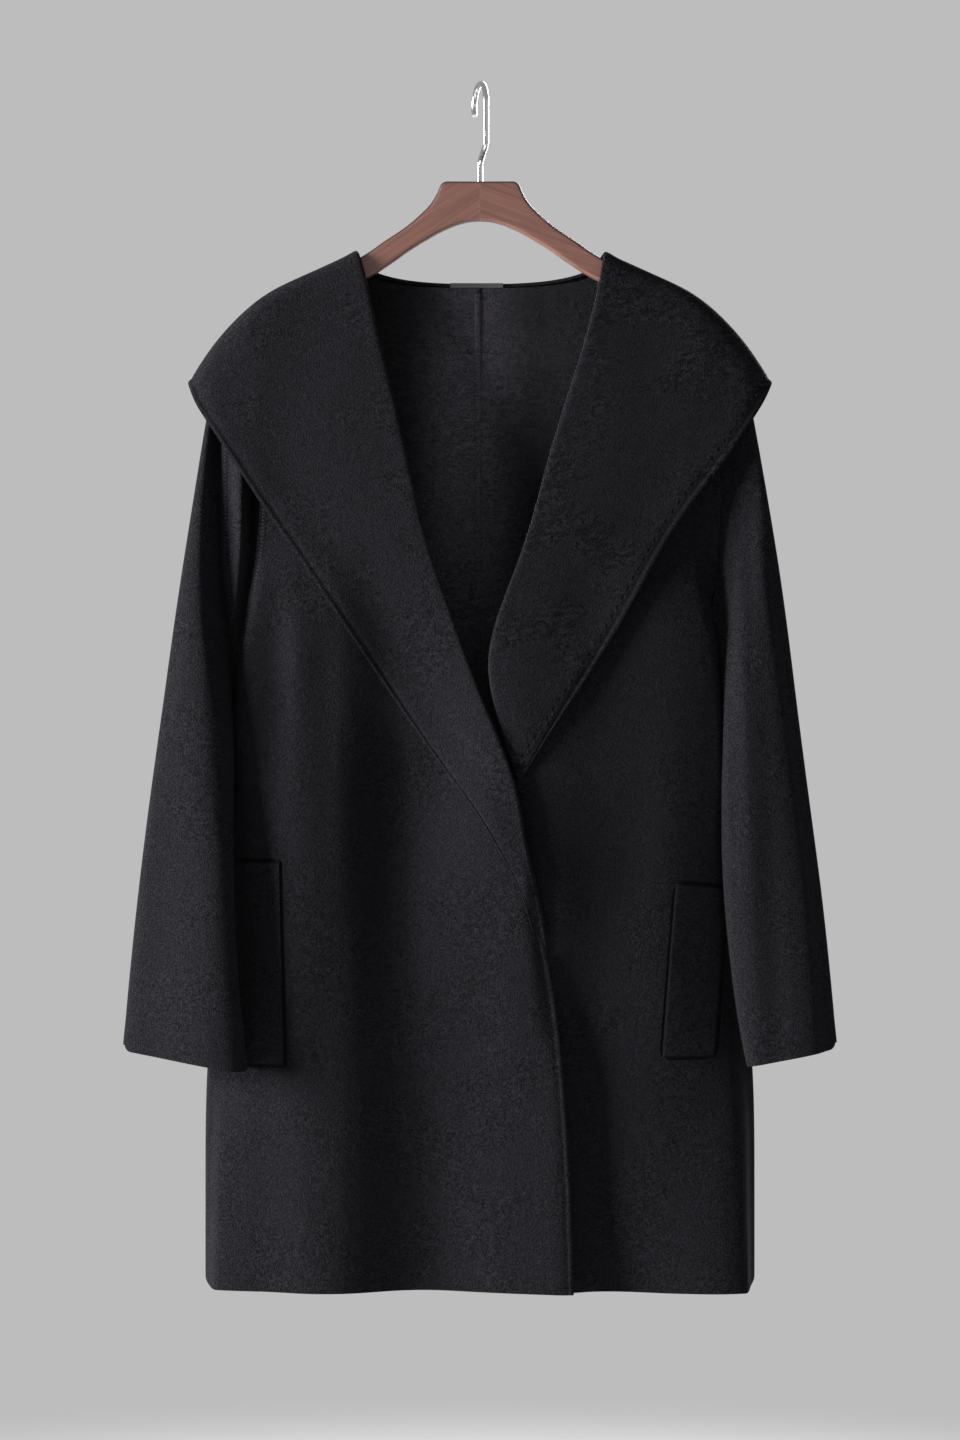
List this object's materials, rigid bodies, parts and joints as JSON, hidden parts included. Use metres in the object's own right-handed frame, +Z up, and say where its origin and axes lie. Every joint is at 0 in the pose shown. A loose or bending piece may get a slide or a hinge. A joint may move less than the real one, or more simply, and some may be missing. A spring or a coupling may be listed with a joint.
{
  "type": "wrap coat on a hanger",
  "caption": "Mid-length wrap coat in dark brushed wool with a wide shawl collar and slanted welt pockets, hung flat on a wooden hanger with a wire hook",
  "frame": {"origin": "the top of the inside of the hook's bend, where it rests on what it hangs from", "axes": "+Z up, the coat's front faces -Y, +X is right as seen from the front, which is the wearer's left"},
  "size_m": [0.614, 0.1227, 1.048],
  "materials": {
    "front_right": "brushed wool, matt",
    "front_left": "brushed wool, matt",
    "back_right": "brushed wool, matt",
    "back_left": "brushed wool, matt",
    "sleeve_top_right": "brushed wool, matt",
    "sleeve_under_right": "brushed wool, matt",
    "sleeve_top_left": "brushed wool, matt",
    "sleeve_under_left": "brushed wool, matt",
    "collar_right": "brushed wool, matt",
    "collar_left": "brushed wool, matt",
    "pocket_welt_right": "brushed wool, matt",
    "pocket_welt_left": "brushed wool, matt",
    "neck_label": "plain woven ribbon",
    "hanger_right": "stained and lacquered",
    "hanger_left": "stained and lacquered",
    "hook": "polished"
  },
  "bodies": {
    "root": {"front_right": "front_right", "front_left": "front_left", "back_right": "back_right", "back_left": "back_left", "sleeve_top_right": "sleeve_top_right", "sleeve_under_right": "sleeve_under_right", "sleeve_top_left": "sleeve_top_left", "sleeve_under_left": "sleeve_under_left", "collar_right": "collar_right", "collar_left": "collar_left", "pocket_welt_right": "pocket_welt_right", "pocket_welt_left": "pocket_welt_left", "neck_label": "neck_label", "hanger_right": "hanger_right", "hanger_left": "hanger_left", "hook": "hook"}
  },
  "joints": []
}
